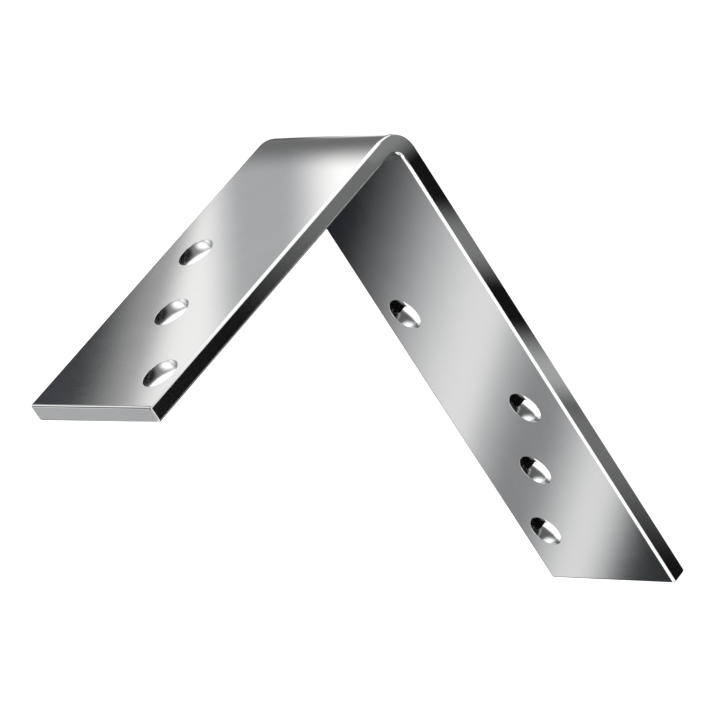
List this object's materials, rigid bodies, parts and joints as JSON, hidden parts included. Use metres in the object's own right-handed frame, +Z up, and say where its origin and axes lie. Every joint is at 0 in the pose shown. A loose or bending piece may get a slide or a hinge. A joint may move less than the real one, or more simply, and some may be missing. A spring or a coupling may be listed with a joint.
{
  "type": "angle bracket",
  "caption": "Heavy flat-bar angle bracket bent to a right angle, with legs of unequal length and slanted rows of round bolt holes; it ties two square members together.",
  "frame": {"origin": "The outer corner: where the planes of the two outer faces cross, midway across the bar's width.", "axes": "+X along the long leg to its free end, +Z up along the short leg, +Y across the bar to its near edge. The long leg's outer face lies on z = 0 and the short leg's outer face on x = 0."},
  "size_m": [0.15, 0.045, 0.105],
  "materials": {
    "zinc_plated_steel": "bright zinc plating on smooth rolled steel, soft mirror reflections, no wear"
  },
  "bodies": {
    "root": {"angle_bracket": "zinc_plated_steel"}
  },
  "joints": []
}
